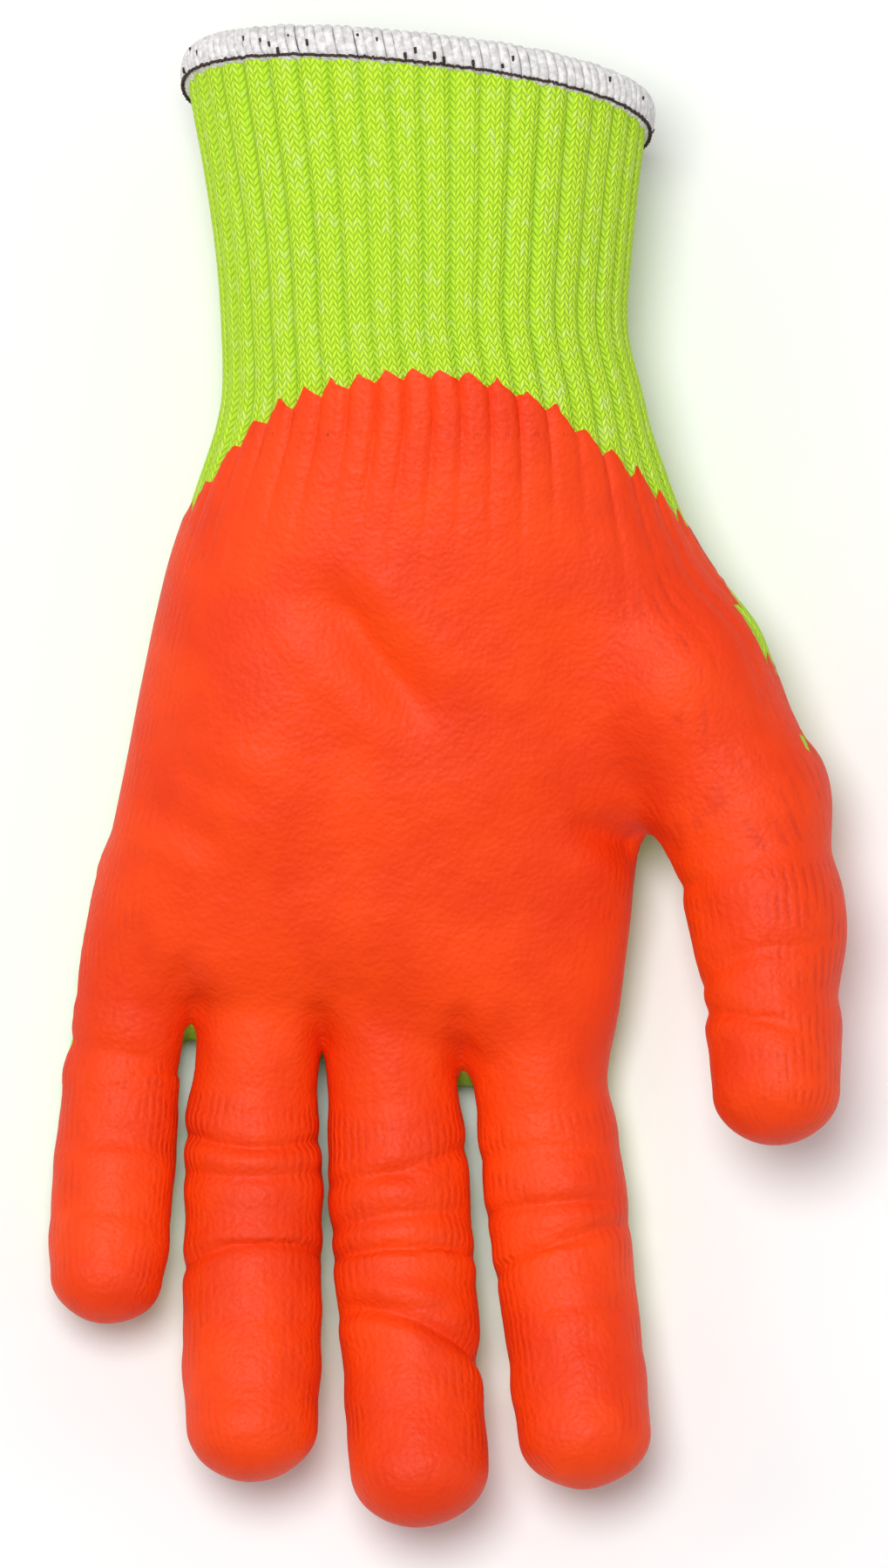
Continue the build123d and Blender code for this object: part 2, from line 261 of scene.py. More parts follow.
def wale_turn(p):
    """Share of the way round the hand, from 0 to 1, starting on the little finger's edge."""
    dx, dz, a, b = palm_frame(p)
    angle = np.mod(np.arctan2(dz / b, dx / a) + np.pi, 2 * np.pi)
    return np.interp(angle, ARC_FRACTIONS, ROUND)


def palm_distance(p):
    dx, dz, a, b = palm_frame(p)
    full = 2.25
    size = np.hypot(dx, dz) + 1e-9
    fit = (np.abs(dx / a) ** full + np.abs(dz / b) ** full) ** (1 / full) + 1e-9
    d = (size - size / fit) * 0.97
    web = DIGITS["middle"].spots[1]
    slope = unit(vec(-0.16, -1, 0.55))
    over = (p - (web + vec(0, 14.5, 4.0) * MM)) @ slope
    return smax(d, over, 12 * MM)


def blob(p, centre, radii):
    v = (p - vec(*centre) * MM) / (vec(*radii) * MM)
    k = np.linalg.norm(v, axis=1) + 1e-9
    size = np.linalg.norm(p - vec(*centre) * MM, axis=1)
    return size - size / k


def rod(p, a, b, ra, rb):
    a, b = vec(*a) * MM, vec(*b) * MM
    v, d = p - a, b - a
    t = np.clip(v @ d / (d @ d), 0, 1)
    return np.linalg.norm(v - t[:, None] * d, axis=1) - (ra + (rb - ra) * t) * MM


def glove_distance(p):
    """Signed distance to the smooth form of the filled glove, without creases or ribs."""
    out = np.full(len(p), 0.05)
    palm_zone = p[:, 1] > -0.062
    q = p[palm_zone]
    palm = palm_distance(q)
    thumb = DIGITS["thumb"]
    h0 = thumb.spots[0] / MM
    mound = rod(q, (24, 45, 26), (38.6, 19, 25), 13.0, 16.6)
    mound = smin(mound, rod(q, (38.6, 19, 25), tuple(h0), 16.6, 14.2), 5 * MM)
    palm = smin(palm, mound, 9 * MM)
    palm = smin(palm, blob(q, (-31, 16, 26), (13, 32, 15)), 9 * MM)
    out[palm_zone] = palm
    fingers = None
    for name in FINGERS:
        d = DIGITS[name].distance(p)
        fingers = d if fingers is None else smin(fingers, d, 0.6 * MM)
    out = smin(out, fingers, 3.6 * MM)
    thumb_form = smin(thumb.distance(p), blob(p, (60.4, -25.5, 30), (6.8, 9.5, 8.5)), 5 * MM)
    return smin(out, thumb_form, 5 * MM)


def normals_at(p, step=0.25 * MM):
    g = np.empty_like(p)
    for axis in range(3):
        e = np.zeros(3)
        e[axis] = step
        g[:, axis] = glove_distance(p + e) - glove_distance(p - e)
    return g / (np.linalg.norm(g, axis=1)[:, None] + 1e-12)


def settle(p, rounds=2):
    """Moves points onto the form."""
    for _ in range(rounds):
        n = normals_at(p)
        p = p - n * glove_distance(p)[:, None]
    return p, normals_at(p)


# ---------------------------------------------------------------- skin mesh
def surface_nets():
    """Quad mesh of the form on a grid."""
    low = vec(-72, -131, -2) * MM
    high = vec(74, 66, 58) * MM
    count = np.ceil((high - low) / CELL).astype(int) + 1
    axes = [low[i] + CELL * np.arange(count[i]) for i in range(3)]
    field = np.empty(count)
    grid_yz = np.stack(np.meshgrid(axes[1], axes[2], indexing="ij"), -1).reshape(-1, 2)
    for i, x in enumerate(axes[0]):
        p = np.column_stack([np.full(len(grid_yz), x), grid_yz])
        field[i] = glove_distance(p).reshape(count[1:])
    inside = field < 0
    total = np.zeros(tuple(count - 1) + (3,))
    hits = np.zeros(tuple(count - 1))
    for axis in range(3):
        a = [slice(None)] * 3
        b = [slice(None)] * 3
        a[axis], b[axis] = slice(0, -1), slice(1, None)
        fa, fb = field[tuple(a)], field[tuple(b)]
        cross = inside[tuple(a)] != inside[tuple(b)]
        t = np.where(cross, fa / np.where(cross, fa - fb, 1), 0)
        others = [i for i in range(3) if i != axis]
        for oy in (0, 1):
            for oz in (0, 1):
                pick = [slice(None)] * 3
                offset = {others[0]: oy, others[1]: oz}
                for i, o in offset.items():
                    pick[i] = slice(o, count[i] - 1 + o)
                c, u = cross[tuple(pick)], t[tuple(pick)]
                hits += c
                total[..., axis] += c * u
                for i, o in offset.items():
                    total[..., i] += c * o
    cells = hits > 0
    index = np.full(hits.shape, -1)
    index[cells] = np.arange(cells.sum())
    where = np.argwhere(cells)
    verts = low + CELL * (where + total[cells] / hits[cells][:, None])
    quads = []
    for axis in range(3):
        a = [slice(1, -1)] * 3
        b = [slice(1, -1)] * 3
        a[axis], b[axis] = slice(0, -1), slice(1, None)
        ia, ib = inside[tuple(a)], inside[tuple(b)]
        at = np.argwhere(ia != ib)
        o1, o2 = [i for i in range(3) if i != axis]
        at[:, o1] += 1
        at[:, o2] += 1
        e1, e2 = np.zeros(3, int), np.zeros(3, int)
        e1[o1], e2[o2] = 1, 1
        ring = [at - e1 - e2, at - e2, at, at - e1]
        quad = np.stack([index[tuple(c.T)] for c in ring], 1)
        at[:, o1] -= 1
        at[:, o2] -= 1
        flip = ~ia[tuple(at.T)]
        if axis == 1:
            flip = ~flip
        quad[flip] = quad[flip][:, ::-1]
        quads.append(quad)
    return verts, np.concatenate(quads)


def split_quads(verts, quads):
    """Each quad into four."""
    edges = np.sort(np.concatenate([quads[:, [i, (i + 1) % 4]] for i in range(4)]), 1)
    unique, inverse = np.unique(edges, axis=0, return_inverse=True)
    inverse = inverse.reshape(4, -1).T + len(verts)
    middles = verts[unique].mean(1)
    centres = verts[quads].mean(1)
    c = np.arange(len(quads)) + len(verts) + len(unique)
    out = [
        np.stack([quads[:, i], inverse[:, i], c, inverse[:, i - 1]], 1) for i in range(4)
    ]
    return np.concatenate([verts, middles, centres]), np.concatenate(out)


def cut(mesh, field):
    """Splits triangles along the zero line of a field given at the vertices."""
    verts, tris, data = mesh["verts"], mesh["tris"], mesh["data"]
    f = np.where(np.abs(field) < 1e-7, 1e-7, field)
    side = f > 0
    crossing = side[tris].any(1) & ~side[tris].all(1)
    keep, split = tris[~crossing], tris[crossing]
    lone = side[split].sum(1) == 1
    odd = np.where(lone[:, None], side[split], ~side[split])
    first = odd.argmax(1)
    rows = np.arange(len(split))
    a = split[rows, first]
    b = split[rows, (first + 1) % 3]
    c = split[rows, (first + 2) % 3]
    edges = np.sort(np.concatenate([np.stack([a, b], 1), np.stack([a, c], 1)]), 1)
    unique, inverse = np.unique(edges, axis=0, return_inverse=True)
    inverse = inverse.reshape(-1) + len(verts)
    ab, ac = inverse[: len(split)], inverse[len(split):]
    i, j = unique.T
    t = (f[i] / (f[i] - f[j]))[:, None]
    verts = np.concatenate([verts, verts[i] * (1 - t) + verts[j] * t])
    data = {
        k: np.concatenate([v, v[i] * (1 - t) + v[j] * t]) for k, v in data.items()
    }
    new_field = np.concatenate([f, np.zeros(len(unique))])
    tris = np.concatenate(
        [keep, np.stack([a, ab, ac], 1), np.stack([ab, b, c], 1), np.stack([ab, c, ac], 1)]
    )
    inside = new_field[tris].sum(1) > 0
    return {"verts": verts, "tris": tris, "data": data}, inside


def make_object(name, verts, faces, data=None, material=None, shade=True):
    """Blender mesh object from arrays, with float attributes."""
    used, remap = np.unique(faces, return_inverse=True)
    faces = remap.reshape(faces.shape)
    verts = verts[used]
    mesh = bpy.data.meshes.new(name)
    corners = faces.shape[1]
    mesh.vertices.add(len(verts))
    mesh.vertices.foreach_set("co", verts.astype(np.float32).ravel())
    mesh.loops.add(faces.size)
    mesh.loops.foreach_set("vertex_index", faces.astype(np.int32).ravel())
    mesh.polygons.add(len(faces))
    mesh.polygons.foreach_set("loop_start", np.arange(0, faces.size, corners, dtype=np.int32))
    mesh.update(calc_edges=True)
    if shade:
        mesh.polygons.foreach_set("use_smooth", np.ones(len(faces), bool))
    for key, values in (data or {}).items():
        if key == "normal":
            continue
        v = values[used].astype(np.float32)
        attribute = mesh.attributes.new(key, "FLOAT", "POINT")
        attribute.data.foreach_set("value", v.ravel())
    if data and "normal" in data:
        n = data["normal"][used]
        mesh.normals_split_custom_set_from_vertices(n.astype(np.float32).tolist())
    obj = bpy.data.objects.new(name, mesh)
    bpy.context.scene.collection.objects.link(obj)
    if material:
        mesh.materials.append(material)
    return obj


# ---------------------------------------------------------------- relief: creases, ribs, soft noise
def noise(p, size, seed=0):
    """Smooth random field between -1 and 1, with features of the given size."""
    q = p / size + 17.31 * seed
    cell = np.floor(q).astype(np.int64)
    f = q - cell
    f = f * f * (3 - 2 * f)
    out = np.zeros(len(p))
    for corner in range(8):
        o = np.array([(corner >> i) & 1 for i in range(3)])
        c = cell + o
        h = (c[:, 0] * 73856093) ^ (c[:, 1] * 19349663) ^ (c[:, 2] * 83492791)
        h = ((h ^ (h >> 13)) * 1274126177) & 0x7FFFFFFF
        value = ((h ^ (h >> 15)) & 0xFFFF) / 32767.5 - 1
        out += value * np.prod(np.where(o, f, 1 - f), axis=1)
    return out


# Per digit: station from the first hinge, slant, bow, depth, width (mm), and reach sideways from
# one edge to the other, as shares of the half width.
CREASES = {
    "pinky": [
        (-3.5, 0.1, 1.0, 0.45, 2.0, -1.1, 1.1), (13.0, 0.0, 1.0, 0.35, 2.0, -0.8, 0.9),
        (27.0, 0.1, 0.8, 0.2, 1.6, -0.8, 0.8),
    ],
    "ring": [
        (5.2, 0.05, -2.6, 0.75, 1.1, -1.1, 1.0),
        (10.5, 0.0, -1.4, 0.55, 1.3, -1.2, 1.2),
        (24.5, -0.1, 1.2, 0.75, 1.2, -1.2, 1.2),
        (37.0, 0.0, 0.8, 0.25, 2.0, -0.6, 1.2),
    ],
    "middle": [
        (7.0, -0.12, -2.2, 0.6, 1.2, -0.2, 1.2),
        (9.5, 0.1, 1.2, 0.55, 1.2, -1.2, 0.1),
        (16.0, -0.05, 0.8, 0.5, 1.3, -1.2, 0.8),
        (22.0, 0.06, 1.0, 0.8, 1.2, -1.2, 1.2),
        (36.0, 0.42, 1.4, 1.25, 1.6, -0.9, 1.3),
        (33.0, 0.2, -1.0, 0.5, 1.3, -0.8, 0.5),
    ],
    "index": [
        (4.0, 0.1, 0.8, 0.35, 1.4, -1.0, 0.4),
        (13.5, 0.05, 0.8, 0.65, 1.2, -1.2, 0.7),
        (20.5, -0.28, 0.6, 0.7, 1.3, -1.2, 0.9),
        (33.0, 0.0, 0.6, 0.3, 1.6, -0.8, 0.8),
    ],
    "thumb": [
        (-3.0, 0.2, 0.6, 0.35, 1.6, -1.2, 0.2), (12.5, -0.2, 1.2, 0.55, 1.8, -1.2, 1.2),
        (21.5, 0.25, 1.0, 0.6, 1.6, -1.2, 0.8),
    ],
}


first_half = {name: rows[2][1] for name, rows in GIRTH.items()}


def crease_relief(name, s, lat, pal):
    """Folds across a digit on the palm side, each with a soft roll beside it."""
    out = np.zeros(len(s))
    face = smooth(-0.35, 0.45, pal)
    for at, slant, bow, depth, width, left, right in CREASES[name]:
        half = first_half[name]
        run = s / MM - (at + slant * lat * half + bow * (lat**2 - 0.4))
        reach = smooth(left - 0.35, left + 0.1, lat) * smooth(right + 0.35, right - 0.1, lat)
        fold = bump(run, width) - 0.42 * bump(run - 2.6 * width, 1.7 * width)
        fold = fold - 0.42 * bump(run + 2.6 * width, 1.7 * width)
        out -= depth * fold * reach * face
    return out * MM


def segment_field(p, a, b):
    """Distance from a line on the palm seen from above, and how far along it, from 0 to 1."""
    a, b = vec(*a) * MM, vec(*b) * MM
    d = b - a
    v = p[:, :2] - a
    t = v @ d / (d @ d)
    across = (v[:, 0] * d[1] - v[:, 1] * d[0]) / np.linalg.norm(d)
    return across, t


# Folds of the palm: two ends in mm, depth, width, and the height of the roll beside it.
PALM_FOLDS = [
    ((-20.5, 32.5), (-4.5, 13.0), 2.3, 4.0, 0.7),
    ((24.0, -7.0), (39.0, -13.0), 1.7, 3.0, 0.5),
    ((12.0, -3.0), (30.0, -9.0), 0.5, 5.0, 0.1),
    ((-51.0, -4.0), (-38.0, -9.5), 0.5, 2.6, 0.4),
    ((-47.0, 1.5), (-33.0, -3.5), 0.35, 3.0, 0.3),
    ((33.0, 22.0), (20.0, 6.0), 0.4, 6.0, 0.0),
    ((-46.5, -31.0), (-42.5, -39.0), 1.1, 2.6, 0.5),
    ((-22.5, -38.0), (-20.5, -46.0), 0.9, 2.4, 0.4),
    ((1.5, -39.0), (3.6, -47.0), 1.0, 2.4, 0.4),
    ((38.0, -17.0), (46.0, -23.0), 0.4, 2.4, 0.3),
]


def palm_relief(p, n):
    out = np.zeros(len(p))
    face = smooth(0.1, 0.55, n[:, 2])
    for a, b, depth, width, roll in PALM_FOLDS:
        across, t = segment_field(p, a, b)
        across = across / MM + 0.6 * noise(p, 9 * MM, 3)
        reach = smooth(-0.3, 0.25, t) * smooth(1.3, 0.75, t)
        beside = roll * bump(np.abs(across) - 2.2 * width, width)
        out -= reach * face * (depth * bump(across, width) - beside)
    return out * MM


def rib_wave(turn):
    """0 on a rib's ridge and 1 in the valley between two ribs."""
    phase = np.mod(turn * RIBS, 1.0)
    return bump(phase - 0.5, 0.17)


def rib_strength(p):
    """How strongly the ribs show: full on the cuff, fading into the hand."""
    y = p[:, 1] / MM
    side = smooth(20, 50, p[:, 0] / MM)
    return smooth(30 - 24 * side, 62 - 24 * side, y)


def hand_relief(p, n):
    turn = wale_turn(p)
    out = palm_relief(p, n)
    valley = 0.85 + 0.35 * noise(np.column_stack([turn * RIBS, turn * 0, p[:, 1] / MM / 22]), 1.0, 8)
    under_coat = 0.55 + 0.45 * smooth(40, 66, p[:, 1] / MM)
    out -= 0.85 * MM * valley * rib_wave(turn) * rib_strength(p) * under_coat
    out += 0.22 * MM * noise(p, 11 * MM, 1) * smooth(62, 40, p[:, 1] / MM)
    return out


# ---------------------------------------------------------------- the coating's edge
dip_back, dip_front = vec(-61.0, 11.2) * MM, vec(70.0, 26.0) * MM
# The coating's edge across the palm side of the wrist, x and y in mm.
ARCH = [
    (-49.5, 40.0), (-45.0, 47.5), (-36.0, 60.0), (-24.0, 67.5), (-8.0, 71.5),
    (6.0, 70.5), (19.0, 65.0), (30.0, 56.5), (38.5, 49.0), (45.0, 40.0),
    (52.0, 29.0), (57.5, 19.0), (62.0, 8.0),
]


def coat_mask(p, digit, s):
    """Positive where the knit is dipped, in metres from the coating's edge."""
    x, y = p[:, 0] / MM, p[:, 1] / MM
    ax, ay = hermite(ARCH, 200)
    turn = wale_turn(p)
    phase = np.mod(turn * RIBS + 0.5, 1.0)
    ragged = 0.7 + 0.5 * noise(np.column_stack([turn * RIBS, turn * 0, turn * 0]), 1.0, 5)
    tooth = 3.4 * ragged * np.where(phase < 0.62, phase / 0.62, (1 - phase) / 0.38)
    edge = np.interp(x, ax, ay[:, 0]) + tooth - 2.0 + 0.45 * noise(p, 1.2 * MM, 2)
    slope = np.interp(x, ax, np.gradient(ay[:, 0], ax))
    arch = (edge - y) / np.sqrt(1 + np.minimum(np.abs(slope), 3.0) ** 2)
    dip = np.interp(p[:, 1], [dip_back[0], dip_front[0]], [dip_back[1], dip_front[1]])
    dip = dip - 4 * MM * smooth(36, 48, x)
    wave = 0.9 * noise(p, 7 * MM, 6) + 0.4 * noise(p, 2 * MM, 7)
    sides = (p[:, 2] - dip) / MM + wave
    for name in FINGERS + ("thumb",):
        d = DIGITS[name]
        mine = digit == name
        tip = (s[mine] - (d.end - 12 * MM)) / MM + wave[mine]
        sides[mine] = np.maximum(sides[mine], tip)
    return np.minimum(arch, sides) * MM


# ---------------------------------------------------------------- build the skin of the hand
verts, quads = surface_nets()
verts, _ = settle(verts, 3)
verts, quads = split_quads(verts, quads)
verts, normal = settle(verts, 2)

nearest = np.array(FINGERS + ("thumb",))[
    np.argmin([DIGITS[n].distance(verts) for n in FINGERS + ("thumb",)], axis=0)
]
CUT_BACK = {"pinky": 5.5, "ring": 6.0, "middle": 6.0, "index": 6.0, "thumb": 4.5}
station = np.zeros(len(verts))
side_share = np.zeros(len(verts))
palm_share = np.zeros(len(verts))
zone_field = np.zeros(len(verts))
for name, digit in DIGITS.items():
    mine = nearest == name
    s, lat, pal = digit.frame_at(verts[mine])
    station[mine], side_share[mine], palm_share[mine] = s, lat, pal
    f = s + CUT_BACK[name] * MM
    if name == "thumb":
        f = np.minimum(f, verts[mine][:, 0] - 35.5 * MM)
    zone_field[mine] = f

turn = wale_turn(verts)
on_digit = smooth(-2, 3, zone_field / MM)
relief = hand_relief(verts, normal)
for name in DIGITS:
    mine = nearest == name
    folds = crease_relief(name, station[mine], side_share[mine], palm_share[mine])
    fade_in = (-6, 0) if name == "thumb" else (-9, -2)
    near = smooth(*fade_in, zone_field[mine] / MM)
    relief[mine] += folds * near
relief += 0.16 * MM * noise(verts, 5 * MM, 4) * on_digit
digit_turn = np.mod(np.arctan2(palm_share, side_share) / (2 * np.pi), 1.0)
mask = coat_mask(verts, nearest, np.where(zone_field > 0, station, -1))

triangles = np.concatenate([quads[:, [0, 1, 2]], quads[:, [0, 2, 3]]])


def mesh_normals(v, faces):
    out = np.zeros_like(v)
    a, b, c = v[faces[:, 0]], v[faces[:, 1]], v[faces[:, 2]]
    n = np.cross(b - a, c - a)
    for i in range(3):
        for axis in range(3):
            out[:, axis] += np.bincount(faces[:, i], n[:, axis], len(v))
    return out / (np.linalg.norm(out, axis=1)[:, None] + 1e-15)


skin = verts + normal * relief[:, None]
skin_normal = mesh_normals(skin, triangles)
if np.mean(np.sum(skin_normal * normal, axis=1)) < 0:
    triangles = triangles[:, ::-1]
    skin_normal = -skin_normal

# Attributes for the shaders: place round the tube, stitch columns round it, place along it.
is_digit = zone_field > 0
root_band = smooth(-14, -2, station / MM) * smooth(14, 2, station / MM)
dx, dz, half_x, half_z = palm_frame(verts)
edge_share = smooth(0.72, 0.95, np.abs(dx / half_x))
# imprint: where the stitch lines show through the coating, both as bump and as painted shade in their
# grooves.
imprint = np.where(
    is_digit,
    0.25 + 0.75 * smooth(0.3, 0.9, np.abs(side_share)) + 0.35 * root_band,
    0.55 * edge_share + 0.5 * root_band * smooth(25, 10, np.abs(zone_field) / MM),
)
imprint *= (0.7 + 0.5 * noise(verts, 8 * MM, 9)) * smooth(0.4, 3.0, np.abs(zone_field) / MM)
DIGIT_WALES = 46
data = {
    "normal": skin_normal,
    "zone": zone_field[:, None],
    "station": station[:, None],
    "mask": mask[:, None],
    "digit": np.array([list(DIGITS).index(n) for n in nearest], float)[:, None],
    "turn_c": np.cos(2 * np.pi * turn)[:, None],
    "turn_s": np.sin(2 * np.pi * turn)[:, None],
    "digit_c": np.cos(2 * np.pi * digit_turn)[:, None],
    "digit_s": np.sin(2 * np.pi * digit_turn)[:, None],
    "wales": np.full((len(verts), 1), float(WALES)),
    "along": verts[:, 1:2],
    "imprint": imprint[:, None],
    # rib: how strongly the painted shade in the rib valleys shows on the knit
    "rib": (rib_strength(verts) * smooth(0, -6, zone_field / MM))[:, None],
}
SHOWN = ("turn_c", "turn_s", "wales", "along", "imprint", "rib")


def as_digit(mesh):
    """Same mesh, with its stitches running round the digit instead of round the hand."""
    d = dict(mesh["data"])
    d["turn_c"], d["turn_s"] = d["digit_c"], d["digit_s"]
    d["wales"] = np.full_like(d["wales"], DIGIT_WALES)
    d["along"] = d["station"]
    d["rib"] = np.zeros_like(d["rib"])
    return {"verts": mesh["verts"], "tris": mesh["tris"], "data": d}


def part_of(mesh, keep):
    return {"verts": mesh["verts"], "tris": mesh["tris"][keep], "data": mesh["data"]}


def split(mesh, field):
    """The parts of a mesh where a field is above and below zero."""
    whole, inside = cut(mesh, field)
    return part_of(whole, inside), part_of(whole, ~inside)


def shown(mesh):
    return {k: mesh["data"][k] for k in SHOWN + ("normal",)}


def knit_piece(name, mesh, material):
    return make_object(name, mesh["verts"], mesh["tris"], shown(mesh), material)


def coat_piece(name, mesh, material):
    above, _ = split(mesh, mesh["data"]["mask"][:, 0])
    m = above["data"]["mask"][:, 0] / MM
    lift = 0.05 * MM + LIP * smooth(-0.1, 1.1, m)
    lifted = above["verts"] + above["data"]["normal"] * lift[:, None]
    return make_object(name, lifted, above["tris"], shown(above), material)


# ---------------------------------------------------------------- materials
class Paint:
    """A procedural material built from small maths nodes."""

    def __init__(self, name):
        self.material = bpy.data.materials.new(name)
        self.material.use_nodes = True
        self.tree = self.material.node_tree
        self.shader = self.tree.nodes["Principled BSDF"]

    def put(self, socket, value):
        if isinstance(value, bpy.types.NodeSocket):
            self.tree.links.new(value, socket)
        elif isinstance(value, (tuple, list)) and socket.type == "RGBA":
            socket.default_value = (*value, 1.0)
        else:
            socket.default_value = value

    def node(self, kind, inputs=(), out=0, **settings):
        n = self.tree.nodes.new(kind)
        for key, value in settings.items():
            setattr(n, key, value)
        for key, value in dict(inputs).items():
            self.put(n.inputs[key], value)
        return n.outputs[out]

    def math(self, operation, *values):
        return self.node("ShaderNodeMath", dict(enumerate(values)), operation=operation)

    def attribute(self, name):
        return self.node("ShaderNodeAttribute", out="Fac", attribute_name=name)

    def vector(self, x, y, z=0.0):
        return self.node("ShaderNodeCombineXYZ", {0: x, 1: y, 2: z})

    def place(self):
        return self.node("ShaderNodeTexCoord", out="Object")

    def noise(self, scale, detail=2.0, rough=0.5, where=None):
        return self.node(
            "ShaderNodeTexNoise",
            {"Vector": where or self.place(), "Scale": scale, "Detail": detail, "Roughness": rough},
        )

    def ramp(self, value, low, high, a=0.0, b=1.0):
        inputs = {"Value": value, 1: low, 2: high, 3: a, 4: b}
        return self.node("ShaderNodeMapRange", inputs, interpolation_type="SMOOTHSTEP")

    def mix(self, factor, a, b):
        n = self.tree.nodes.new("ShaderNodeMix")
        n.data_type = "RGBA"
        self.put(n.inputs[0], factor)
        self.put(n.inputs[6], a)
        self.put(n.inputs[7], b)
        return n.outputs[2]

    def bump(self, height, distance, strength=1.0, under=None):
        inputs = {"Height": height, "Distance": distance, "Strength": strength}
        if under is not None:
            inputs["Normal"] = under
        return self.node("ShaderNodeBump", inputs)

    def finish(self, **values):
        for key, value in values.items():
            self.put(self.shader.inputs[key.replace("_", " ").title() if key != "IOR" else key], value)
        return self.material


def stitches(paint):
    """Column number, row number along a slanted leg, and the height of a plain knit stitch."""
    m = paint.math
    angle = m("ARCTAN2", paint.attribute("turn_s"), paint.attribute("turn_c"))
    turn_share = m("DIVIDE", angle, 2 * math.pi)
    column = m("MULTIPLY", turn_share, paint.attribute("wales"))
    row = m("DIVIDE", paint.attribute("along"), COURSE)
    out = m("MULTIPLY", m("ABSOLUTE", m("SUBTRACT", m("FRACT", column), 0.5)), 2.0)
    slanted = m("ADD", row, m("MULTIPLY", out, 0.85))
    leg = m("SUBTRACT", m("MULTIPLY", m("FRACT", slanted), 2.0), 1.0)
    leg_height = m("SQRT", m("SUBTRACT", 1.0, m("MULTIPLY", m("MULTIPLY", leg, leg), 0.96)))
    across = m("SUBTRACT", m("MULTIPLY", out, 2.0), 1.0)
    side_height = m("SUBTRACT", 1.0, m("MULTIPLY", m("MULTIPLY", across, across), 0.9))
    height = m("MULTIPLY", m("ADD", m("MULTIPLY", side_height, 0.6), 0.4), leg_height)
    return column, slanted, height


def knit_paint(name, light, dark, fleck):
    p = Paint(name)
    column, slanted, height = stitches(p)
    cell = p.vector(p.math("FLOOR", p.math("MULTIPLY", column, 2.0)), p.math("FLOOR", slanted))
    pick = p.node("ShaderNodeTexWhiteNoise", {"Vector": cell}, out="Value")
    patch = p.noise(420.0, 2.0)
    chosen = p.math("MULTIPLY", p.math("GREATER_THAN", pick, 0.70), p.ramp(patch, 0.40, 0.64))
    # Colour runs from dark in the low parts of each stitch to light on its raised legs: painted shade
    # between the legs, mixed with a random tone per stitch.
    shade = p.math("ADD", p.math("MULTIPLY", height, 0.75), p.math("MULTIPLY", pick, 0.25))
    colour = p.mix(p.ramp(shade, 0.25, 0.85), dark, light)
    colour = p.mix(p.math("MULTIPLY", chosen, 0.26), colour, fleck)
    # Darker yarn colour in the valleys between the ribs: painted shade, weighted by the rib attribute.
    rib_phase = p.math("FRACT", p.math("DIVIDE", column, RIB_WALES))
    in_rib = p.math("ABSOLUTE", p.math("SUBTRACT", rib_phase, 0.5))
    valley = p.math("MULTIPLY", p.ramp(in_rib, 0.2, 0.04), p.attribute("rib"))
    colour = p.mix(p.math("MULTIPLY", valley, 0.42), colour, (0.30, 0.55, 0.012))
    fuzz = p.noise(5200.0, 3.0, 0.6)
    normal = p.bump(height, 0.34 * MM)
    normal = p.bump(fuzz, 0.10 * MM, 0.8, normal)
    return p.finish(base_color=colour, roughness=0.92, normal=normal)


def coating_paint():
    p = Paint("foam_coating")
    m = p.math
    cells = {"Vector": p.place(), "Scale": 1150.0, "Randomness": 1.0}
    grain = p.node("ShaderNodeTexVoronoi", cells, out="Distance", feature="SMOOTH_F1")
    pores = p.noise(2600.0, 3.0, 0.6)
    swell = p.noise(260.0, 2.0, 0.5)
    turn_share = m("ARCTAN2", p.attribute("turn_s"), p.attribute("turn_c"))
    lines = m("SINE", m("MULTIPLY", m("MULTIPLY", turn_share, p.attribute("wales")), 1.0))
    broken = p.ramp(p.noise(210.0, 2.0, 0.6), 0.35, 0.65)
    lines = m("MULTIPLY", m("MULTIPLY", lines, p.attribute("imprint")), broken)
    tone = p.noise(45.0, 3.0, 0.55)
    colour = p.mix(p.ramp(tone, 0.3, 0.7), (0.84, 0.040, 0.0), (0.96, 0.062, 0.0))
    # Darker orange in the troughs of the stitch imprint lines: painted shade in the grooves, on top of
    # their bump.
    colour = p.mix(m("MULTIPLY", p.ramp(lines, 0.0, -0.6), 0.35), colour, (0.55, 0.02, 0.004))
    normal = p.bump(lines, 0.06 * MM)
    normal = p.bump(swell, 0.5 * MM, 0.6, normal)
    normal = p.bump(grain, 0.22 * MM, 0.7, normal)
    normal = p.bump(pores, 0.05 * MM, 0.7, normal)
    rough = p.ramp(pores, 0.2, 0.8, 0.46, 0.66)
    p.shader.inputs["Specular IOR Level"].default_value = 0.28
    return p.finish(base_color=colour, roughness=rough, normal=normal)


def thread_paint(name, light, dark, scale=900.0, roughness=0.8):
    p = Paint(name)
    fibre = p.noise(scale, 3.0, 0.6)
    colour = p.mix(p.ramp(fibre, 0.35, 0.65), dark, light)
    return p.finish(base_color=colour, roughness=roughness, normal=p.bump(fibre, 0.12 * MM))


# LIME_DARK colours the low parts of the stitches: painted shade, mixed with a random tone per stitch.
LIME, LIME_DARK, PALE_FLECK = (0.62, 0.93, 0.035), (0.42, 0.72, 0.018), (0.74, 0.82, 0.42)
knit = knit_paint("hand_knit_yarn", LIME, LIME_DARK, PALE_FLECK)
cuff_yarn = knit_paint("cuff_knit_yarn", LIME, LIME_DARK, PALE_FLECK)
coating = coating_paint()
white_thread = thread_paint("overlock_thread", (0.86, 0.84, 0.83), (0.62, 0.60, 0.60))
dark_thread = thread_paint("needle_thread", (0.06, 0.028, 0.02), (0.02, 0.01, 0.01))
elastic = thread_paint("elastic_yarn", (0.8, 0.8, 0.76), (0.6, 0.6, 0.57))

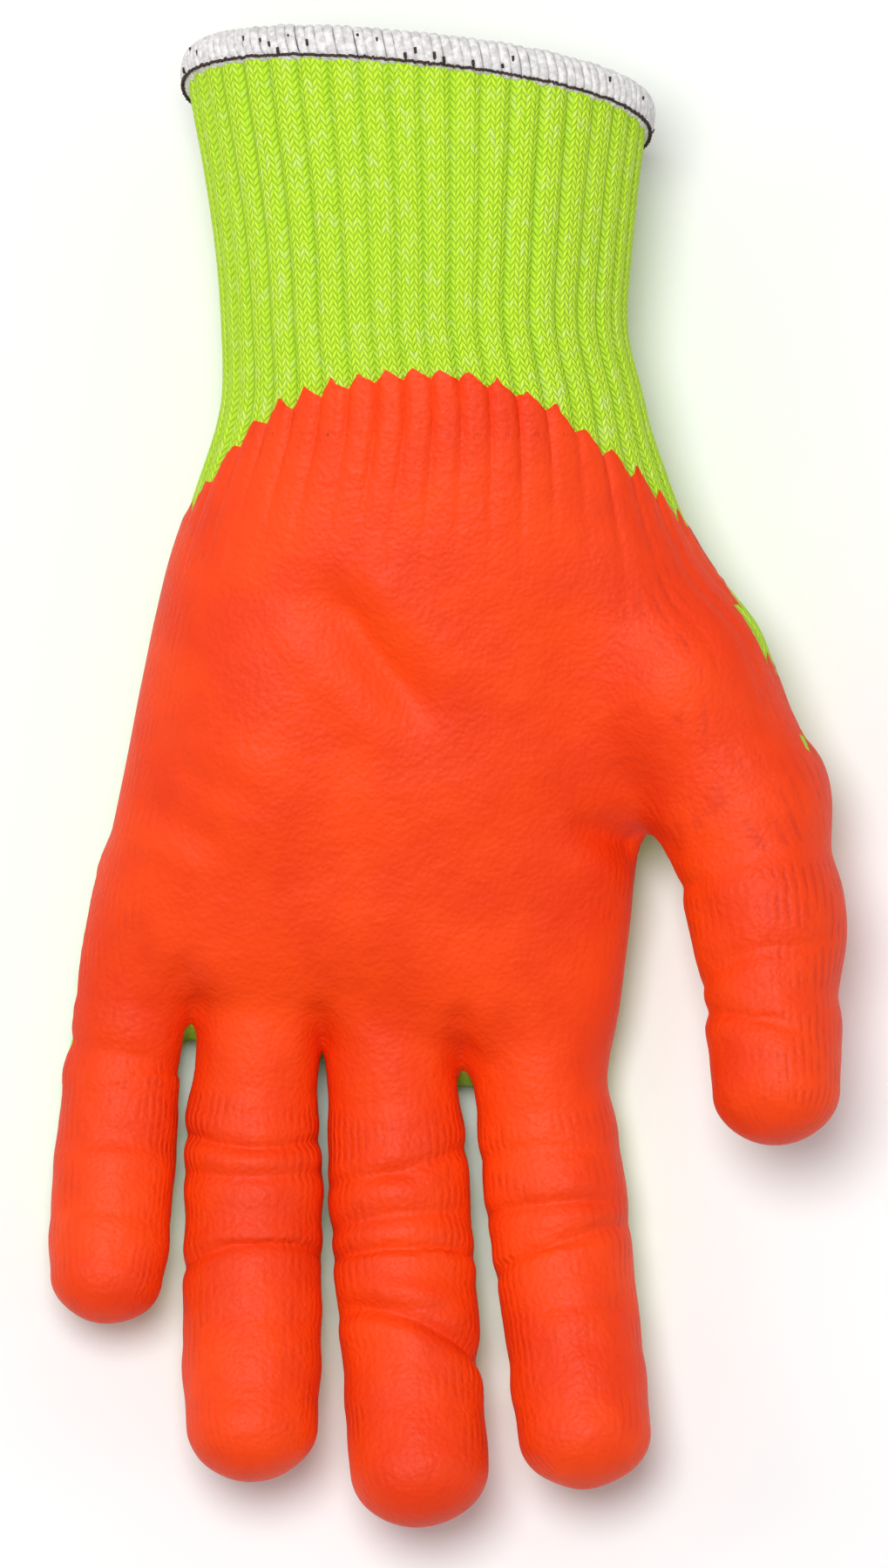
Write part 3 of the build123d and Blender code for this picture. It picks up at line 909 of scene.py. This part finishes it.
# ---------------------------------------------------------------- hand and digit pieces
mesh = {"verts": skin, "tris": triangles, "data": data}
digits_mesh, hand_mesh = split(mesh, mesh["data"]["zone"][:, 0])
_, coat_mesh = split(hand_mesh, hand_mesh["verts"][:, 1] - 60.7 * MM)
_, hand_mesh = split(hand_mesh, hand_mesh["verts"][:, 1] - 60 * MM)
hand_knit = knit_piece("hand_knit", hand_mesh, knit)
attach(hand_knit, "hand")
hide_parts("hand_liner")
palm_coat = coat_piece("palm_coating", coat_mesh, coating)
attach(palm_coat, "hand")
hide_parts("hand_coating")


for number, (name, digit) in enumerate(DIGITS.items()):
    words = THUMB_PIECES if name == "thumb" else FINGER_PIECES
    hinges = digit.starts[1:-1]
    near = digits_mesh["data"]["digit"][digits_mesh["tris"]][:, :, 0]
    rest = as_digit(part_of(digits_mesh, np.abs(near.mean(1) - number) < 0.5))
    marks = [-CUT_BACK[name] * MM]
    for k in range(1, len(hinges)):
        marks.append((hinges[k - 1] + hinges[k]) / 2)
    marks.append(digit.end + 9 * MM)
    for k, word in enumerate(words):
        last = k == len(words) - 1
        if last:
            piece = rest
        else:
            rest, piece = split(rest, rest["data"]["station"][:, 0] - marks[k + 1])
        for kind, make, paint in (("knit", knit_piece, knit), ("coating", coat_piece, coating)):
            o = make(f"{name}_{word}_{kind}", piece, paint)
            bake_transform(o)
            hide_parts(f"{name}_{word}_{'liner' if kind == 'knit' else 'coating'}")

# ---------------------------------------------------------------- ribbed cuff
AROUND = WALES * 6
ROWS = 120
BACK_ROWS = 4
SEAM = 60 * MM
turns = np.arange(AROUND) / AROUND
angles = np.interp(turns, ROUND, ARC_FRACTIONS) + np.pi
HEM = vec(-4.6, 116.9, 30.7) * MM
HEM_DROP, HEM_LEAN = math.tan(math.radians(5.7)), math.tan(math.radians(13.0))


def hem_line(x, z):
    return HEM[1] - (x - HEM[0]) * HEM_DROP + (z - HEM[2]) * HEM_LEAN


def cuff_point(angle, share):
    """Point of the cuff's form, from the wrist seam at share 0 to the hem line at 1."""
    y = SEAM + share * (HEM[1] - SEAM)
    for _ in range(4):
        cx, cz, a, b = (np.interp(y, OVAL_Y, OVAL_V[:, i]) for i in range(4))
        k = (np.abs(np.cos(angle)) ** 2.25 + np.abs(np.sin(angle)) ** 2.25) ** (-1 / 2.25)
        x, z = cx + a * k * np.cos(angle), cz + b * k * np.sin(angle)
        y = SEAM + share * (hem_line(x, z) - SEAM)
    return np.stack([x, y, z], -1)


shares = np.linspace(0, 1, ROWS + 1)
step = shares[1]
rows = np.concatenate([-step * np.arange(BACK_ROWS, 0, -1), shares])
grid_angle, grid_share = np.meshgrid(angles, rows)
form = cuff_point(grid_angle.ravel(), grid_share.ravel())
for _ in range(3):
    n = normals_at(form)
    n[:, 1] = 0
    n /= np.linalg.norm(n, axis=1)[:, None]
    form -= n * glove_distance(form)[:, None]
form_normal = normals_at(form)
outer = form + form_normal * hand_relief(form, form_normal)[:, None]


def tube_faces(rings, around, closed=False):
    r = np.arange(rings if closed else rings - 1)[:, None]
    c = np.arange(around)[None, :]
    a = r * around + c
    b = r * around + (c + 1) % around
    up = (r + 1) % rings
    return np.stack([a, b, up * around + (c + 1) % around, up * around + c], -1).reshape(-1, 4)


all_faces = tube_faces(len(rows), AROUND)
outer_normal = mesh_normals(outer, np.concatenate([all_faces[:, [0, 1, 2]], all_faces[:, [2, 3, 0]]]))
turned = np.mean(np.sum(outer_normal * form_normal, axis=1)) < 0
if turned:
    outer_normal = -outer_normal
keep = BACK_ROWS * AROUND
inner_turn = wale_turn(form[keep:])
inner = form[keep:] - form_normal[keep:] * (1.75 * MM - 0.3 * MM * rib_wave(inner_turn))[:, None]
cuff_verts = np.concatenate([outer[keep:], inner.reshape(len(shares), AROUND, 3)[::-1].reshape(-1, 3)])
inner_normal = -form_normal[keep:].reshape(len(shares), AROUND, 3)[::-1].reshape(-1, 3)
cuff_normals = np.concatenate([outer_normal[keep:], inner_normal])
both = np.tile(turns, len(rows[BACK_ROWS:]) * 2)
ones = np.ones((len(cuff_verts), 1))
cuff_data = {
    "normal": cuff_normals,
    "turn_c": np.cos(2 * np.pi * both)[:, None],
    "turn_s": np.sin(2 * np.pi * both)[:, None],
    "wales": ones * WALES,
    "along": cuff_verts[:, 1:2],
    "imprint": ones * 0.3,
    # rib: full painted shade in the rib valleys all round the cuff
    "rib": ones,
}
cuff_faces = tube_faces(len(shares) * 2, AROUND, closed=True)
outer_faces = tube_faces(len(shares), AROUND)
if turned:
    cuff_faces, outer_faces = cuff_faces[:, ::-1], outer_faces[:, ::-1]
cuff = make_object("cuff_knit", cuff_verts, cuff_faces, cuff_data, cuff_yarn)
cuff_mesh = {
    "verts": outer[keep:],
    "tris": np.concatenate([outer_faces[:, [0, 1, 2]], outer_faces[:, [0, 2, 3]]]),
    "data": {k: v[: len(shares) * AROUND] for k, v in cuff_data.items()},
}
count = len(form) - keep
cuff_mask = coat_mask(form[keep:], np.full(count, "none"), np.full(count, -1.0))
cuff_mesh["data"]["mask"] = cuff_mask[:, None]
cuff_edge = coat_piece("wrist_coating", cuff_mesh, coating)
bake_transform(cuff)
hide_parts("cuff_rib")
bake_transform(cuff_edge)
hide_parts("hand_coating")


# ---------------------------------------------------------------- hem threads
def sweep(path, outward, wide, deep, sides, closed=False):
    """Round yarn along a path; outward is the side that faces away from the cloth."""
    if closed:
        along = np.roll(path, -1, 0) - np.roll(path, 1, 0)
    else:
        along = np.gradient(path, axis=0)
    along /= np.linalg.norm(along, axis=1)[:, None] + 1e-15
    out = outward - along * np.sum(outward * along, axis=1)[:, None]
    out /= np.linalg.norm(out, axis=1)[:, None] + 1e-15
    across = np.cross(along, out)
    a = 2 * np.pi * np.arange(sides) / sides
    wide = np.broadcast_to(np.asarray(wide, float), len(path))[:, None, None]
    deep = np.broadcast_to(np.asarray(deep, float), len(path))[:, None, None]
    ring = path[:, None] + across[:, None] * np.cos(a)[None, :, None] * wide
    ring = ring + out[:, None] * np.sin(a)[None, :, None] * deep
    return ring.reshape(-1, 3), tube_faces(len(path), sides, closed)


def rim(turn_values, lift, out):
    """Point near the hem: lift is up from the hem line, out from the knit's outer face."""
    angle = np.interp(np.mod(turn_values, 1.0), ROUND, ARC_FRACTIONS) + np.pi
    base = cuff_point(angle, np.ones_like(angle))
    ahead = cuff_point(angle + 0.01, np.ones_like(angle))
    tangent = ahead - base
    tangent /= np.linalg.norm(tangent, axis=1)[:, None]
    up = unit(vec(math.tan(math.radians(5.7)), 1, -math.tan(math.radians(13.0))))
    outward = np.cross(up, tangent)
    outward /= np.linalg.norm(outward, axis=1)[:, None]
    centre = base.mean(0)
    outward *= np.sign(np.sum(outward * (base - centre), axis=1))[:, None]
    return base + up * np.reshape(lift, (-1, 1)) + outward * np.reshape(out, (-1, 1)), outward, up


rng = np.random.default_rng(11)
THREADS = 137
PER_TURN = 22
theta = 2 * np.pi * np.arange(THREADS * PER_TURN) / PER_TURN
which = theta / (2 * np.pi)
jitter = np.interp(which, np.arange(THREADS + 1), np.append(rng.normal(0, 0.12, THREADS), 0))
tall = 2.55 * MM * (1 + 0.25 * jitter)
c, s = np.cos(theta), np.sin(theta)
k = (np.abs(c) ** 2.8 + np.abs(s) ** 2.8) ** (-1 / 2.8)
lift = 2.3 * MM + tall * k * s
out = -0.85 * MM + (1.75 * MM + 0.12 * MM * jitter) * k * c
slant = 0.3 * k * s
path, outward, up = rim((which + slant + 0.25 * jitter) / THREADS, lift, out)
side = outward * (k * c)[:, None] + up * (k * s)[:, None]
thread_half = 0.84 * MM * (1 + 0.12 * jitter)
thread_sides = 9
thread_verts, thread_faces = sweep(path, side, thread_half, 0.55 * MM, thread_sides, closed=True)
overlock = make_object("hem_overlock", thread_verts, thread_faces, None, white_thread)
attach(overlock, "cuff")
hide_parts("hem_binding")

chain_verts, chain_faces, used = [], [], 0
for i in range(THREADS):
    bow = 0.75 + 0.2 * np.sin(np.linspace(0, np.pi, 7))
    lines = [(np.linspace(i + 0.05, i + 0.95, 7), 0.1 * rng.normal(size=7) - 0.35, bow)]
    if rng.random() < 0.3:
        top = rng.uniform(0.8, 4.4)
        climb = np.linspace(top - rng.uniform(0.8, 2.0), top, 5)
        lines.append((np.linspace(i + 0.1, i + 0.3, 5), climb, np.full(5, 1.28)))
    for where, height, off in lines:
        pts, away, _ = rim(where / THREADS, height * MM, off * MM)
        v, f = sweep(pts, away, 0.27 * MM, 0.27 * MM, 6)
        chain_verts.append(v)
        chain_faces.append(f + used)
        used += len(v)
chain = make_object(
    "hem_needle_chain", np.concatenate(chain_verts), np.concatenate(chain_faces), None, dark_thread
)
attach(chain, "cuff")
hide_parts("hem_needle_thread")

# Elastic yarns laid in the cuff's wall
ELASTIC_DEPTH = 1.15 * MM
ring_verts, ring_faces, used = [], [], 0
ring_angle = np.linspace(0, 2 * np.pi, 240, endpoint=False)
for row in range(5):
    y = (wrist[1] + 12.8 + 3.6 * row) * MM
    cx, cz, a, b = (np.interp(y, OVAL_Y, OVAL_V[:, i]) for i in range(4))
    k = (np.abs(np.cos(ring_angle)) ** 2.25 + np.abs(np.sin(ring_angle)) ** 2.25) ** (-1 / 2.25)
    x = cx + (a - ELASTIC_DEPTH) * k * np.cos(ring_angle)
    z = cz + (b - ELASTIC_DEPTH) * k * np.sin(ring_angle)
    pts = np.stack([x, np.full(len(x), y), z], -1)
    v, f = sweep(pts, pts - vec(cx, y, cz), 0.28 * MM, 0.28 * MM, 8, closed=True)
    ring_verts.append(v)
    ring_faces.append(f + used)
    used += len(v)
elastic_rings = make_object(
    "cuff_elastic_yarns", np.concatenate(ring_verts), np.concatenate(ring_faces), None, elastic
)
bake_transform(elastic_rings)
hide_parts("cuff_elastic")

# ---------------------------------------------------------------- floor, light and camera
floor_paint = Paint("studio_floor")
floor_tone = floor_paint.noise(3.0, 2.0)
floor_colour = floor_paint.mix(floor_tone, (0.93, 0.93, 0.93), (0.95, 0.95, 0.95))
floor_paint.finish(base_color=floor_colour, roughness=0.9)
bpy.ops.mesh.primitive_plane_add(size=6, location=(0, 0, -0.0002))
floor = bpy.context.object
floor.name = "studio_floor"
floor.data.materials.append(floor_paint.material)


def area(name, spot_at, aim, size, power):
    light = bpy.data.lights.new(name, "AREA")
    light.shape = "DISK"
    light.size = size
    light.energy = power
    o = bpy.data.objects.new(name, light)
    bpy.context.scene.collection.objects.link(o)
    o.location = spot_at
    direction = Vector(aim) - Vector(spot_at)
    o.rotation_euler = direction.to_track_quat("-Z", "Y").to_euler()
    return o


area("front_soft", (-0.15, 0.25, 1.5), (0, 0, 0.02), 0.6, 16.5)
area("left_soft", (-1.1, 0.3, 0.9), (0, 0, 0.02), 0.7, 2.4)
area("right_soft", (1.1, -0.2, 0.9), (0, 0, 0.02), 0.7, 1.8)
bpy.context.scene.view_settings.view_transform = "Standard"
world = bpy.data.worlds.new("studio")
bpy.context.scene.world = world
world.use_nodes = True
world.node_tree.nodes["Background"].inputs[0].default_value = (1, 1, 1, 1)
world.node_tree.nodes["Background"].inputs[1].default_value = 0.32

camera_data = bpy.data.cameras.new("camera")
camera = bpy.data.objects.new("camera", camera_data)
bpy.context.scene.collection.objects.link(camera)
camera.location = (-0.0005, 0.0003, 2.225)
camera_data.sensor_width = 36.0
camera_data.lens = 291.3
bpy.context.scene.camera = camera
